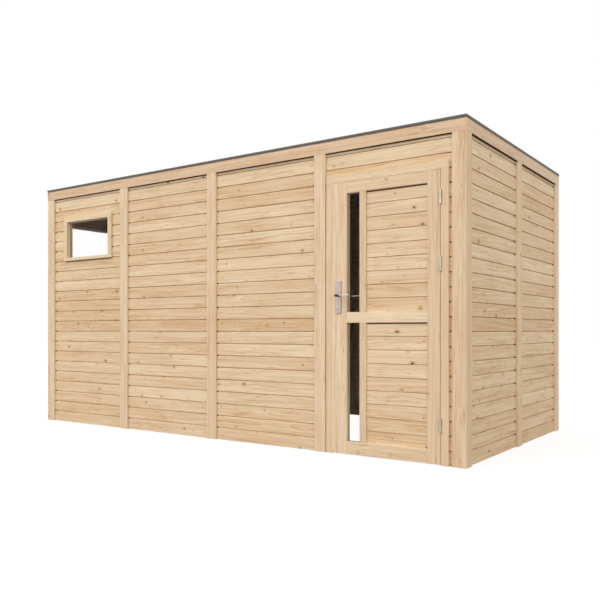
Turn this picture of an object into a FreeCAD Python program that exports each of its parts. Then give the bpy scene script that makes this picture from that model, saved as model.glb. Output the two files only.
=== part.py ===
import FreeCAD, Part
import os
import re

import Sketcher

# Flat-roofed timber garden shed: posts with recessed board walls between them,
# a framed and boarded door with a glazed strip, two small windows and a flat roof.
# Millimetres. X runs to the right along the front, Y runs from the front to the back,
# Z runs up from the ground. The origin lies on the ground under the middle of the
# whole footprint, counting the door furniture that stands out in front.

doc = FreeCAD.newDocument("garden_shed")
sheet = doc.addObject("Spreadsheet::Sheet", "sizes")

# Driving dimensions
SIZES = {
    # posts and bays
    "corner_post": 94,
    "mid_post_width": 94,
    "mid_post_depth": 80,
    "bay_width": 907,
    "door_bay_width": 922,
    "arris_radius": 5,
    # walls
    "board_recess": 17,
    "board_thickness": 19,
    "frame_width": 45,
    "frame_depth": 28,
    "vent_gap": 10,
    "hairline": 0.3,
    # roof
    "joist_height": 107,
    "trim_height": 22,
    "trim_width": 30,
    "trim_drip_height": 8,
    "trim_proud": 3,
    "fascia_height": 72,
    "fascia_thickness": 28,
    "deck_thickness": 18,
    "membrane_thickness": 3,
    "joist_width": 45,
    # windows
    "window_width": 560,
    "window_height": 329,
    "window_drop": 224,
    "window_lining": 20,
    "lining_depth": 38,
    "front_window_margin": 191,
    "left_window_margin": 118,
    "window_casing_width": 45,
    "sill_casing_height": 27,
    "casing_width": 50,
    "casing_thickness": 18,
    "glass_thickness": 4,
    "glass_setback": 13,
    "bead_size": 6,
    # doorway
    "over_door_height": 166,
    "hinge_strip": 21,
    "lock_casing_width": 44,
    "jamb_thickness": 40,
    "stop_width": 12,
    "running_gap": 5,
    # door leaf
    "leaf_width": 790,
    "leaf_height": 1849,
    "leaf_thickness": 44,
    "leaf_setback": 1,
    "hinge_stile_width": 86,
    "lock_stile_width": 116,
    "top_rail_height": 78,
    "middle_rail_height": 73,
    "middle_rail_level": 891,
    "bottom_rail_height": 88,
    "mullion_width": 48,
    "light_width": 99,
    "leaf_board_recess": 12,
    "leaf_board_thickness": 14,
    "leaf_glass_recess": 20,
    # hinges
    "knuckle_radius": 7,
    "knuckle_height": 44.5,
    "knuckle_gap": 1,
    "knuckle_foot": 4.5,
    "knuckle_cap": 1.5,
    "pin_radius": 3.5,
    "pin_clearance": 0.05,
    "low_hinge_rise": 247,
    "high_hinge_drop": 174,
    "upper_hinge_spacing": 419,
    # handle and lock
    "handle_rise": 1077,
    "handle_backset": 52,
    "plate_width": 45,
    "plate_height": 222,
    "plate_thickness": 8,
    "plate_corner_radius": 6,
    "plate_above_spindle": 101,
    "neck_radius": 9,
    "lever_standoff": 45,
    "lever_length": 124,
    "lever_depth": 18,
    "lever_thickness": 8,
    "lever_round": 3,
    "spindle_size": 8,
    "spindle_hole_radius": 12,
    "faceplate_height": 200,
    "faceplate_width": 20,
    "faceplate_thickness": 2,
    "lock_drop": 72,
    "lock_barrel_radius": 8.5,
    "lock_web_width": 10,
    "lock_height": 33,
    "lock_proud": 1,
}

for row, (alias, value) in enumerate(SIZES.items(), start=1):
    sheet.set("A%d" % row, str(value))
    sheet.setAlias("A%d" % row, alias)
doc.recompute()

# Sizes and places that follow from the driving dimensions
DERIVED = {
    "WIDTH": "2 * corner_post + 3 * mid_post_width + 3 * bay_width + door_bay_width",
    "DEPTH": "2 * corner_post + mid_post_width + 2 * bay_width",
    "FURNITURE_REACH": "(casing_thickness - board_recess - leaf_setback) + plate_thickness"
                       " + lever_standoff + lever_depth / 2",
    "LEFT": "-WIDTH / 2",
    "RIGHT": "WIDTH / 2",
    "FRONT": "-DEPTH / 2 + FURNITURE_REACH / 2",
    "BACK": "FRONT + DEPTH",
    "SKIN": "board_recess + board_thickness",
    "WALL_DEPTH": "board_recess + board_thickness + frame_depth",
    "CASING_FACE": "FRONT + board_recess - casing_thickness",
    "LEAF_FACE": "CASING_FACE + leaf_setback",
    "LEAF_BACK": "LEAF_FACE + leaf_thickness",
    "LEAF_RIGHT": "RIGHT - corner_post - hinge_strip - casing_width - running_gap",
    "LEAF_LEFT": "LEAF_RIGHT - leaf_width",
    "LEAF_BOTTOM": "running_gap",
    "LEAF_TOP": "LEAF_BOTTOM + leaf_height",
    "DOORWAY_RIGHT": "LEAF_RIGHT + running_gap",
    "DOORWAY_LEFT": "LEAF_LEFT - running_gap",
    "DOORWAY_TOP": "LEAF_TOP + running_gap",
    "HEAD_TOP": "DOORWAY_TOP + jamb_thickness",
    "WALL_TOP": "HEAD_TOP + over_door_height",
    "FASCIA_BOTTOM": "WALL_TOP + vent_gap",
    "TRIM_BOTTOM": "FASCIA_BOTTOM + fascia_height",
    "DECK_BOTTOM": "TRIM_BOTTOM - deck_thickness",
    "FRAME_TOP": "DECK_BOTTOM - joist_height",
    "WINDOW_SILL": "WALL_TOP - window_drop - window_height",
    "LOW_HINGE": "LEAF_BOTTOM + low_hinge_rise",
    "HIGH_HINGE": "LEAF_TOP - high_hinge_drop",
    "MIDDLE_HINGE": "HIGH_HINGE - upper_hinge_spacing",
    "HANDLE_Z": "LEAF_BOTTOM + handle_rise",
    "HINGE_X": "LEAF_RIGHT + running_gap / 2",
    "HINGE_Y": "CASING_FACE - knuckle_radius",
    "HANDLE_X": "LEAF_LEFT + handle_backset",
    "OUTER_PLATE": "LEAF_FACE - plate_thickness",
    "LOCK_Z": "HANDLE_Z - lock_drop",
}


def expand(text):
    """Write derived names out until only cells of the sheet are left."""
    names = re.compile(r"\b(%s)\b" % "|".join(DERIVED))
    while names.search(text):
        text = names.sub(lambda match: "(%s)" % DERIVED[match.group(1)], text)
    return re.sub(r"\b([a-z]+(?:_[a-z]+)*)\b", r"sizes.\1", text)


def bind(thing, prop, text):
    thing.setExpression(prop, expand(str(text)))


def place(thing, corner):
    for axis, text in zip("xyz", corner):
        bind(thing, "Placement.Base.%s" % axis, text)


def box(name, corner, size):
    """A block with its low corner and its X, Y and Z sizes given as expressions."""
    block = doc.addObject("Part::Box", name)
    for prop, text in zip(("Length", "Width", "Height"), size):
        bind(block, prop, text)
    place(block, corner)
    return block


def cylinder(name, radius, height, base, along_y=False):
    """A round bar that rises from its base, or runs back along Y."""
    bar = doc.addObject("Part::Cylinder", name)
    bind(bar, "Radius", radius)
    bind(bar, "Height", height)
    if along_y:
        bar.Placement.Rotation = FreeCAD.Rotation(FreeCAD.Vector(1, 0, 0), -90)
    place(bar, base)
    return bar


def cone(name, low_radius, high_radius, height, base):
    end = doc.addObject("Part::Cone", name)
    bind(end, "Radius1", low_radius)
    bind(end, "Radius2", high_radius)
    bind(end, "Height", height)
    place(end, base)
    return end


def cut(name, base, tool):
    piece = doc.addObject("Part::Cut", name)
    piece.Base = base
    piece.Tool = tool
    return piece


def fuse(name, pieces):
    piece = doc.addObject("Part::MultiFuse", name)
    piece.Shapes = pieces
    return piece


def mitred_board(name, length, thickness, height, corner, quarter_turns=0, end_gap="0"):
    """A board whose ends are cut at 45 degrees, its long face towards the outside."""
    board = doc.addObject("Part::Wedge", name)
    for prop, text in (
        ("Xmin", end_gap),
        ("Ymin", "0"),
        ("Zmin", "0"),
        ("X2min", "%s + %s" % (thickness, end_gap)),
        ("Z2min", "0"),
        ("Xmax", "%s - %s" % (length, end_gap)),
        ("Ymax", thickness),
        ("Zmax", height),
        ("X2max", "%s - %s - %s" % (length, thickness, end_gap)),
        ("Z2max", height),
    ):
        bind(board, prop, text)
    board.Placement.Rotation = FreeCAD.Rotation(FreeCAD.Vector(0, 0, 1), 90 * quarter_turns)
    place(board, corner)
    return board


def rounded_bar(name, width, depth, height, corner, radius="arris_radius", faces_front=False,
                all_edges=False):
    """A padded rectangle with its four long edges rounded, or all of them.

    It rises from its corner, or with faces_front it stands up in X and Z and grows forwards.
    """
    body = doc.addObject("PartDesign::Body", name)
    sketch = body.newObject("Sketcher::SketchObject", name + "_section")
    ground = [plane for plane in body.Origin.OriginFeatures if plane.Role == "XY_Plane"][0]
    sketch.AttachmentSupport = [(ground, "")]
    sketch.MapMode = "FlatFace"
    corners = (("0", "0"), (width, "0"), (width, depth), ("0", depth))
    starts = [FreeCAD.Vector(SIZES.get(x, 0), SIZES.get(y, 0), 0) for x, y in corners]
    for index in range(4):
        sketch.addGeometry(Part.LineSegment(starts[index], starts[(index + 1) % 4]), False)
    for index in range(4):
        sketch.addConstraint(Sketcher.Constraint("Coincident", index, 2, (index + 1) % 4, 1))
    for index, (x, y) in enumerate(corners):
        for kind, text, value in (("DistanceX", x, starts[index].x), ("DistanceY", y, starts[index].y)):
            rule = sketch.addConstraint(Sketcher.Constraint(kind, -1, 1, index, 1, value))
            bind(sketch, "Constraints[%d]" % rule, text)
    pad = body.newObject("PartDesign::Pad", name + "_length")
    pad.Profile = sketch
    bind(pad, "Length", height)
    doc.recompute()
    rounded = [
        "Edge%d" % number
        for number, edge in enumerate(pad.Shape.Edges, start=1)
        if all_edges or edge.BoundBox.ZLength > edge.BoundBox.XLength + edge.BoundBox.YLength
    ]
    arris = body.newObject("PartDesign::Fillet", name + "_arris")
    arris.Base = (pad, rounded)
    bind(arris, "Radius", radius)
    body.Tip = arris
    if faces_front:
        body.Placement.Rotation = FreeCAD.Rotation(FreeCAD.Vector(1, 0, 0), 90)
    place(body, corner)
    return body


PARTS = {}


def keep(name, pieces):
    """Name a sub-part: one piece as it is, or like pieces side by side."""
    if len(pieces) == 1:
        part = pieces[0]
    else:
        part = doc.addObject("Part::Compound", name + "_set")
        part.Links = pieces
    part.Label = name
    PARTS[name] = part
    return part


# Where each bay of the front and back walls starts and ends
BAY_STARTS = ["LEFT + corner_post + %d * (bay_width + mid_post_width)" % index for index in range(4)]
BAY_WIDTHS = ["bay_width", "bay_width", "bay_width", "door_bay_width"]
SIDE_STARTS = ["FRONT + corner_post + %d * (bay_width + mid_post_width)" % index for index in range(2)]

# Posts
keep("corner_posts", [
    rounded_bar("corner_post_%d" % index, "corner_post", "corner_post", "FASCIA_BOTTOM", (x, y, "0"))
    for index, (x, y) in enumerate((
        ("LEFT", "FRONT"),
        ("RIGHT - corner_post", "FRONT"),
        ("LEFT", "BACK - corner_post"),
        ("RIGHT - corner_post", "BACK - corner_post"),
    ))
])
for wall, y in (("front", "FRONT"), ("back", "BACK - mid_post_depth")):
    keep(wall + "_posts", [
        rounded_bar(
            "%s_post_%d" % (wall, index), "mid_post_width", "mid_post_depth", "FASCIA_BOTTOM",
            (BAY_STARTS[index] + " + bay_width", y, "0"),
        )
        for index in range(3)
    ])
keep("side_posts", [
    rounded_bar(
        "side_post_%d" % index, "mid_post_depth", "mid_post_width", "FASCIA_BOTTOM",
        (x, SIDE_STARTS[0] + " + bay_width", "0"),
    )
    for index, x in enumerate(("LEFT", "RIGHT - mid_post_depth"))
])


# Board walls, one plain panel in each bay
def board_panel(name, wall, bay):
    """The board skin of one bay, set back behind the faces of the posts."""
    if wall in ("front", "back"):
        y = "FRONT + board_recess" if wall == "front" else "BACK - SKIN"
        corner = (BAY_STARTS[bay], y, "0")
        size = (BAY_WIDTHS[bay], "board_thickness", "WALL_TOP")
    else:
        x = "LEFT + board_recess" if wall == "left" else "RIGHT - SKIN"
        corner = (x, SIDE_STARTS[bay], "0")
        size = ("board_thickness", "bay_width", "WALL_TOP")
    return box(name, corner, size)


# Window openings: low corner along the wall, and the hole that the lining fills
FRONT_WINDOW = BAY_STARTS[0] + " + front_window_margin"
LEFT_WINDOW = SIDE_STARTS[0] + " + left_window_margin"
HOLE_WIDTH = "window_width + 2 * window_lining"
HOLE_HEIGHT = "window_height + 2 * window_lining"
HOLE_BOTTOM = "WINDOW_SILL - window_lining"

keep("front_wall_window_bay", [cut(
    "front_window_bay",
    board_panel("front_window_panel", "front", 0),
    box(
        "front_window_hole",
        (FRONT_WINDOW + " - window_lining", "FRONT", HOLE_BOTTOM),
        (HOLE_WIDTH, "WALL_DEPTH", HOLE_HEIGHT),
    ),
)])
keep("left_wall_window_bay", [cut(
    "left_window_bay",
    board_panel("left_window_panel", "left", 0),
    box(
        "left_window_hole",
        ("LEFT", LEFT_WINDOW + " - window_lining", HOLE_BOTTOM),
        ("WALL_DEPTH", HOLE_WIDTH, HOLE_HEIGHT),
    ),
)])
keep("front_wall_bay_2", [board_panel("front_panel_2", "front", 1)])
keep("front_wall_bay_3", [board_panel("front_panel_3", "front", 2)])
keep("back_wall_boards", [board_panel("back_panel_%d" % bay, "back", bay) for bay in range(4)])
keep("left_wall_bay_2", [board_panel("left_panel_2", "left", 1)])
keep("right_wall_boards", [board_panel("right_panel_%d" % bay, "right", bay) for bay in range(2)])

# The door bay: boards above the door and a narrow strip beside each jamb
JAMB_LEFT = "DOORWAY_LEFT - jamb_thickness"
JAMB_RIGHT = "DOORWAY_RIGHT + jamb_thickness"
keep("front_wall_over_door", [box(
    "over_door_panel",
    (JAMB_LEFT, "FRONT + board_recess", "HEAD_TOP"),
    ("leaf_width + 2 * running_gap + 2 * jamb_thickness", "board_thickness", "over_door_height"),
)])
keep("front_wall_door_strips", [
    box(
        "door_strip_left",
        (BAY_STARTS[3], "FRONT + board_recess", "0"),
        ("%s - (%s)" % (JAMB_LEFT, BAY_STARTS[3]), "board_thickness", "WALL_TOP"),
    ),
    box(
        "door_strip_right",
        (JAMB_RIGHT, "FRONT + board_recess", "0"),
        ("RIGHT - corner_post - (%s)" % JAMB_RIGHT, "board_thickness", "WALL_TOP"),
    ),
])


# Frames behind the boards: rails along the wall and studs between them
def along(wall, start, depth_start, level, length, depth, height):
    """Corner and size of a timber that lies on a wall, from its place along that wall."""
    if wall in ("front", "back"):
        return (start, depth_start, level), (length, depth, height)
    return (depth_start, start, level), (depth, length, height)


FRAME_FACE = {
    "front": "FRONT + SKIN",
    "back": "BACK - WALL_DEPTH",
    "left": "LEFT + SKIN",
    "right": "RIGHT - WALL_DEPTH",
}
STUD_HEIGHT = "FRAME_TOP - 2 * frame_width - 2 * hairline"


def bay_frame(wall, label, start, width, stud_places):
    """Bottom rail, top rail and the studs of one bay."""
    face = FRAME_FACE[wall]
    timbers = []
    for rail, level in (("bottom", "0"), ("top", "FRAME_TOP - frame_width")):
        corner, size = along(wall, start, face, level, width, "frame_depth", "frame_width")
        timbers.append(box("%s_%s_rail" % (label, rail), corner, size))
    for index, stud in enumerate(stud_places):
        corner, size = along(
            wall, stud, face, "frame_width + hairline", "frame_width", "frame_depth", STUD_HEIGHT,
        )
        timbers.append(box("%s_stud_%d" % (label, index), corner, size))
    return timbers


def plain_studs(start, width):
    return [
        start,
        "%s + (%s - frame_width) / 2" % (start, width),
        "%s + %s - frame_width" % (start, width),
    ]


def window_studs(start, opening):
    return [
        start,
        "%s - window_lining - frame_width" % opening,
        "%s + window_width + window_lining" % opening,
        "%s + bay_width - frame_width" % start,
    ]


def window_trimmers(wall, opening):
    """Short timbers between the window's studs, under and over the lining."""
    timbers = []
    for place_name, level in (
        ("sill", HOLE_BOTTOM + " - frame_width"),
        ("lintel", HOLE_BOTTOM + " + " + HOLE_HEIGHT),
    ):
        corner, size = along(
            wall, opening + " - window_lining + hairline", FRAME_FACE[wall], level,
            HOLE_WIDTH + " - 2 * hairline", "frame_depth", "frame_width",
        )
        timbers.append(box("%s_window_%s" % (wall, place_name), corner, size))
    return timbers


front_frame = bay_frame("front", "front_bay_0", BAY_STARTS[0], "bay_width",
                        window_studs(BAY_STARTS[0], FRONT_WINDOW))
front_frame += window_trimmers("front", FRONT_WINDOW)
for bay in (1, 2):
    front_frame += bay_frame("front", "front_bay_%d" % bay, BAY_STARTS[bay], "bay_width",
                             plain_studs(BAY_STARTS[bay], "bay_width"))
front_frame.append(box(
    "door_bay_top_rail",
    (BAY_STARTS[3], "FRONT + SKIN", "FRAME_TOP - frame_width"),
    ("door_bay_width", "frame_depth", "frame_width"),
))
for index, x in enumerate((
    JAMB_LEFT,
    "(DOORWAY_LEFT + DOORWAY_RIGHT - frame_width) / 2",
    JAMB_RIGHT + " - frame_width",
)):
    front_frame.append(box(
        "door_cripple_%d" % index,
        (x, "FRONT + SKIN", "HEAD_TOP + hairline"),
        ("frame_width", "frame_depth", "FRAME_TOP - frame_width - HEAD_TOP - 2 * hairline"),
    ))
keep("front_wall_frame", front_frame)

back_frame = []
for bay in range(4):
    back_frame += bay_frame("back", "back_bay_%d" % bay, BAY_STARTS[bay], BAY_WIDTHS[bay],
                            plain_studs(BAY_STARTS[bay], BAY_WIDTHS[bay]))
keep("back_wall_frame", back_frame)

left_frame = bay_frame("left", "left_bay_0", SIDE_STARTS[0], "bay_width",
                       window_studs(SIDE_STARTS[0], LEFT_WINDOW))
left_frame += window_trimmers("left", LEFT_WINDOW)
left_frame += bay_frame("left", "left_bay_1", SIDE_STARTS[1], "bay_width",
                        plain_studs(SIDE_STARTS[1], "bay_width"))
keep("left_wall_frame", left_frame)

right_frame = []
for bay in range(2):
    right_frame += bay_frame("right", "right_bay_%d" % bay, SIDE_STARTS[bay], "bay_width",
                             plain_studs(SIDE_STARTS[bay], "bay_width"))
keep("right_wall_frame", right_frame)


# Windows: lining through the wall, casing boards outside, a fixed pane between beads
def ring(wall, label, inner_start, inner_level, inner_width, inner_height, member, outer_face, depth,
         sill=None):
    """Four boards round a rectangle: head and sill pieces full width, sides between them."""
    sill = sill or member
    timbers = []
    full = "%s + 2 * (%s)" % (inner_width, member)
    for side, start, level, width, height in (
        ("sill", "%s - (%s)" % (inner_start, member), "%s - (%s)" % (inner_level, sill), full, sill),
        ("head", "%s - (%s)" % (inner_start, member), "%s + %s" % (inner_level, inner_height), full, member),
        ("near", "%s - (%s)" % (inner_start, member), inner_level + " + hairline", member,
         inner_height + " - 2 * hairline"),
        ("far", "%s + %s" % (inner_start, inner_width), inner_level + " + hairline", member,
         inner_height + " - 2 * hairline"),
    ):
        corner, size = along(wall, start, outer_face, level, width, depth, height)
        timbers.append(box("%s_%s" % (label, side), corner, size))
    return timbers


def window(wall, opening):
    outer = {"front": "FRONT", "left": "LEFT"}[wall]
    casing_face = outer + " + board_recess - casing_thickness"
    glass_face = outer + " + board_recess + glass_setback"
    keep(wall + "_window_casing", ring(
        wall, wall + "_casing", opening, "WINDOW_SILL", "window_width", "window_height",
        "window_casing_width", casing_face, "casing_thickness", "sill_casing_height",
    ))
    lining = ring(
        wall, wall + "_lining", opening, "WINDOW_SILL", "window_width", "window_height",
        "window_lining", outer + " + board_recess", "lining_depth",
    )
    for side, face in (
        ("outer_bead", glass_face + " - bead_size"),
        ("inner_bead", glass_face + " + glass_thickness"),
    ):
        lining += ring(
            wall, "%s_%s" % (wall, side),
            opening + " + bead_size + hairline", "WINDOW_SILL + bead_size + hairline",
            "window_width - 2 * bead_size - 2 * hairline", "window_height - 2 * bead_size - 2 * hairline",
            "bead_size", face, "bead_size",
        )
    keep(wall + "_window_frame", lining)
    corner, size = along(
        wall, opening + " + hairline", glass_face, "WINDOW_SILL + hairline",
        "window_width - 2 * hairline", "glass_thickness", "window_height - 2 * hairline",
    )
    keep(wall + "_window_glass", [box(wall + "_pane", corner, size)])


window("front", FRONT_WINDOW)
window("left", LEFT_WINDOW)

# Doorway: casing boards outside, jambs and head behind them, stops behind the leaf
keep("door_casing", [
    box("lock_casing", ("DOORWAY_LEFT - lock_casing_width", "CASING_FACE", "0"),
        ("lock_casing_width", "casing_thickness", "DOORWAY_TOP - hairline")),
    box("hinge_casing", ("DOORWAY_RIGHT", "CASING_FACE", "0"),
        ("casing_width", "casing_thickness", "DOORWAY_TOP - hairline")),
    box("head_casing", ("DOORWAY_LEFT - lock_casing_width", "CASING_FACE", "DOORWAY_TOP"),
        ("lock_casing_width + leaf_width + 2 * running_gap + casing_width", "casing_thickness",
         "casing_width")),
])
JAMB_DEPTH = "board_thickness + frame_depth"
keep("door_frame", [
    box("lock_jamb", (JAMB_LEFT, "FRONT + board_recess", "0"),
        ("jamb_thickness", JAMB_DEPTH, "DOORWAY_TOP - hairline")),
    box("hinge_jamb", ("DOORWAY_RIGHT", "FRONT + board_recess", "0"),
        ("jamb_thickness", JAMB_DEPTH, "DOORWAY_TOP - hairline")),
    box("head_jamb", (JAMB_LEFT, "FRONT + board_recess", "DOORWAY_TOP"),
        ("leaf_width + 2 * running_gap + 2 * jamb_thickness", JAMB_DEPTH, "jamb_thickness")),
])
STOP_FACE = "LEAF_BACK + running_gap"
STOP_DEPTH = "FRONT + WALL_DEPTH - (LEAF_BACK + running_gap)"
keep("door_stops", [
    box("lock_stop", ("DOORWAY_LEFT", STOP_FACE, "0"),
        ("stop_width", STOP_DEPTH, "DOORWAY_TOP - stop_width - hairline")),
    box("hinge_stop", ("DOORWAY_RIGHT - stop_width", STOP_FACE, "0"),
        ("stop_width", STOP_DEPTH, "DOORWAY_TOP - stop_width - hairline")),
    box("head_stop", ("DOORWAY_LEFT", STOP_FACE, "DOORWAY_TOP - stop_width"),
        ("leaf_width + 2 * running_gap", STOP_DEPTH, "stop_width")),
])

# Door leaf: stiles full height, rails between them, a mullion beside the glazed strip
RAIL_LEFT = "LEAF_LEFT + lock_stile_width"
RAIL_RIGHT = "LEAF_RIGHT - hinge_stile_width"
RAIL_WIDTH = "leaf_width - lock_stile_width - hinge_stile_width"
UPPER_LEVEL = "LEAF_BOTTOM + middle_rail_level + middle_rail_height"
UPPER_HEIGHT = "leaf_height - top_rail_height - middle_rail_level - middle_rail_height"
LOWER_LEVEL = "LEAF_BOTTOM + bottom_rail_height"
LOWER_HEIGHT = "middle_rail_level - bottom_rail_height"
MULLION_LEFT = RAIL_LEFT + " + light_width"
BOARDS_LEFT = MULLION_LEFT + " + mullion_width"


def lock_profile(label, start, length, grow="0"):
    """The keyhole-shaped section of a profile cylinder: a round barrel over a narrower web."""
    web_base = "LOCK_Z + lock_barrel_radius - lock_height + lock_web_width / 2"
    return fuse(label + "_profile", [
        cylinder(label + "_barrel", "lock_barrel_radius + %s" % grow, length,
                 ("HANDLE_X", start, "LOCK_Z"), along_y=True),
        box(label + "_web", ("HANDLE_X - lock_web_width / 2 - %s" % grow, start, web_base),
            ("lock_web_width + 2 * %s" % grow, length, "LOCK_Z - (%s)" % web_base)),
        cylinder(label + "_web_foot", "lock_web_width / 2 + %s" % grow, length,
                 ("HANDLE_X", start, web_base), along_y=True),
    ])


lock_stile = box("lock_stile_blank", ("LEAF_LEFT", "LEAF_FACE", "LEAF_BOTTOM"),
                 ("lock_stile_width", "leaf_thickness", "leaf_height"))
stile_cuts = fuse("lock_stile_cuts", [
    cylinder("spindle_hole", "spindle_hole_radius", "leaf_thickness",
             ("HANDLE_X", "LEAF_FACE", "HANDLE_Z"), along_y=True),
    lock_profile("stile_hole", "LEAF_FACE", "leaf_thickness", "hairline"),
    box("faceplate_recess",
        ("LEAF_LEFT", "LEAF_FACE + (leaf_thickness - faceplate_width) / 2",
         "HANDLE_Z - faceplate_height / 2"),
        ("faceplate_thickness", "faceplate_width", "faceplate_height")),
])
keep("door_lock_stile", [cut("lock_stile", lock_stile, stile_cuts)])
keep("door_hinge_stile", [box("hinge_stile", (RAIL_RIGHT, "LEAF_FACE", "LEAF_BOTTOM"),
                              ("hinge_stile_width", "leaf_thickness", "leaf_height"))])
keep("door_rails", [
    box("door_%s_rail" % label, (RAIL_LEFT, "LEAF_FACE", level),
        (RAIL_WIDTH, "leaf_thickness", height))
    for label, level, height in (
        ("bottom", "LEAF_BOTTOM", "bottom_rail_height"),
        ("middle", "LEAF_BOTTOM + middle_rail_level", "middle_rail_height"),
        ("top", "LEAF_TOP - top_rail_height", "top_rail_height"),
    )
])
FIELDS = (("upper", UPPER_LEVEL, UPPER_HEIGHT), ("lower", LOWER_LEVEL, LOWER_HEIGHT))
keep("door_mullions", [
    box(label + "_mullion", (MULLION_LEFT, "LEAF_FACE", level),
        ("mullion_width", "leaf_thickness", height))
    for label, level, height in FIELDS
])
keep("door_boards", [
    box(label + "_door_boards", (BOARDS_LEFT, "LEAF_FACE + leaf_board_recess", level),
        (RAIL_WIDTH + " - light_width - mullion_width", "leaf_board_thickness", height))
    for label, level, height in FIELDS
])
keep("door_glass", [
    box(label + "_door_light", (RAIL_LEFT, "LEAF_FACE + leaf_glass_recess", level),
        ("light_width", "glass_thickness", height))
    for label, level, height in FIELDS
])
keep("door_lock", [
    box("lock_faceplate",
        ("LEAF_LEFT", "LEAF_FACE + (leaf_thickness - faceplate_width) / 2",
         "HANDLE_Z - faceplate_height / 2"),
        ("faceplate_thickness", "faceplate_width", "faceplate_height")),
    lock_profile("lock_cylinder", "OUTER_PLATE - lock_proud",
                 "leaf_thickness + 2 * plate_thickness + 2 * lock_proud"),
])

# Hinges: the lower knuckle and its pin stay on the casing, the upper knuckle is on the leaf
HINGES = (("low", "LOW_HINGE"), ("middle", "MIDDLE_HINGE"), ("high", "HIGH_HINGE"))
frame_knuckles = []
leaf_knuckles = []
for label, level in HINGES:
    foot = level + " - knuckle_gap / 2 - knuckle_height"
    joint = level + " + knuckle_gap / 2"
    frame_knuckles.append(fuse(label + "_frame_knuckle", [
        cone(label + "_frame_cap", "knuckle_radius - knuckle_cap", "knuckle_radius", "knuckle_cap",
             ("HINGE_X", "HINGE_Y", foot)),
        cylinder(label + "_frame_barrel", "knuckle_radius", "knuckle_height - knuckle_cap",
                 ("HINGE_X", "HINGE_Y", foot + " + knuckle_cap")),
        cylinder(label + "_pin", "pin_radius", "2 * knuckle_height + knuckle_gap",
                 ("HINGE_X", "HINGE_Y", foot)),
        box(label + "_frame_foot", ("DOORWAY_RIGHT", "HINGE_Y", foot + " + knuckle_cap"),
            ("knuckle_foot", "knuckle_radius", "knuckle_height - knuckle_cap")),
    ]))
    barrel = fuse(label + "_leaf_barrel", [
        cylinder(label + "_leaf_cylinder", "knuckle_radius", "knuckle_height - knuckle_cap",
                 ("HINGE_X", "HINGE_Y", joint)),
        cone(label + "_leaf_cap", "knuckle_radius", "knuckle_radius - knuckle_cap", "knuckle_cap",
             ("HINGE_X", "HINGE_Y", joint + " + knuckle_height - knuckle_cap")),
        box(label + "_leaf_foot", ("LEAF_RIGHT - knuckle_foot", "HINGE_Y", joint),
            ("knuckle_foot", "LEAF_FACE - HINGE_Y", "knuckle_height - knuckle_cap")),
    ])
    leaf_knuckles.append(cut(label + "_leaf_knuckle", barrel, cylinder(
        label + "_pin_bore", "pin_radius + pin_clearance", "knuckle_height", ("HINGE_X", "HINGE_Y", joint),
    )))
keep("hinge_frame_knuckles", frame_knuckles)
keep("hinge_leaf_knuckles", leaf_knuckles)

# Door furniture: a long plate and a lever on each face, joined by a square spindle
PLATE_BOTTOM = "HANDLE_Z + plate_above_spindle - plate_height"
plates = []
for label, y in (("outer", "OUTER_PLATE"), ("inner", "LEAF_BACK")):
    plates.append(cut(
        label + "_plate",
        rounded_bar(label + "_plate_blank", "plate_width", "plate_height", "plate_thickness",
                    ("HANDLE_X - plate_width / 2", y + " + plate_thickness", PLATE_BOTTOM),
                    "plate_corner_radius", faces_front=True),
        fuse(label + "_plate_holes", [
            cylinder(label + "_neck_hole", "neck_radius + pin_clearance", "plate_thickness",
                     ("HANDLE_X", y, "HANDLE_Z"), along_y=True),
            lock_profile(label + "_lock_hole", y, "plate_thickness", "hairline"),
        ]),
    ))
keep("door_handle_plates", plates)

NECK_LENGTH = "plate_thickness + lever_standoff"
for label, neck_start, bar_start in (
    ("outer", "OUTER_PLATE - lever_standoff", "OUTER_PLATE - lever_standoff - lever_depth / 2"),
    ("inner", "LEAF_BACK", "LEAF_BACK + plate_thickness + lever_standoff - lever_depth / 2"),
):
    keep("handle_%s_lever" % label, [fuse(label + "_lever", [
        cylinder(label + "_neck", "neck_radius", NECK_LENGTH,
                 ("HANDLE_X", neck_start, "HANDLE_Z"), along_y=True),
        rounded_bar(label + "_bar", "lever_length", "lever_depth", "lever_thickness",
                    ("HANDLE_X - neck_radius", bar_start, "HANDLE_Z - lever_thickness / 2"),
                    "lever_round", all_edges=True),
    ])])
keep("handle_spindle", [box(
    "spindle", ("HANDLE_X - spindle_size / 2", "LEAF_FACE", "HANDLE_Z - spindle_size / 2"),
    ("spindle_size", "leaf_thickness", "spindle_size"),
)])

# Roof: joists on the wall frames, rims on the posts, deck, membrane, fascias and edge trim
joists = []
for bay in range(4):
    for third in (1, 2):
        joists.append(box(
            "joist_%d_%d" % (bay, third),
            ("%s + %d * %s / 3 - joist_width / 2" % (BAY_STARTS[bay], third, BAY_WIDTHS[bay]),
             "FRONT + SKIN", "FRAME_TOP"),
            ("joist_width", "DEPTH - 2 * (SKIN)", "DECK_BOTTOM - FRAME_TOP"),
        ))
for index, x in enumerate(("LEFT + fascia_thickness", "RIGHT - fascia_thickness - joist_width")):
    joists.append(box(
        "rim_joist_%d" % index,
        (x, "FRONT + fascia_thickness", "FASCIA_BOTTOM"),
        ("joist_width", "DEPTH - 2 * fascia_thickness", "DECK_BOTTOM - FASCIA_BOTTOM"),
    ))
keep("roof_joists", joists)
keep("roof_deck", [box(
    "deck", ("LEFT + fascia_thickness", "FRONT + fascia_thickness", "DECK_BOTTOM"),
    ("WIDTH - 2 * fascia_thickness", "DEPTH - 2 * fascia_thickness", "deck_thickness"),
)])
keep("roof_membrane", [box(
    "membrane", ("LEFT + trim_width", "FRONT + trim_width", "TRIM_BOTTOM"),
    ("WIDTH - 2 * trim_width", "DEPTH - 2 * trim_width", "membrane_thickness"),
)])

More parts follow.
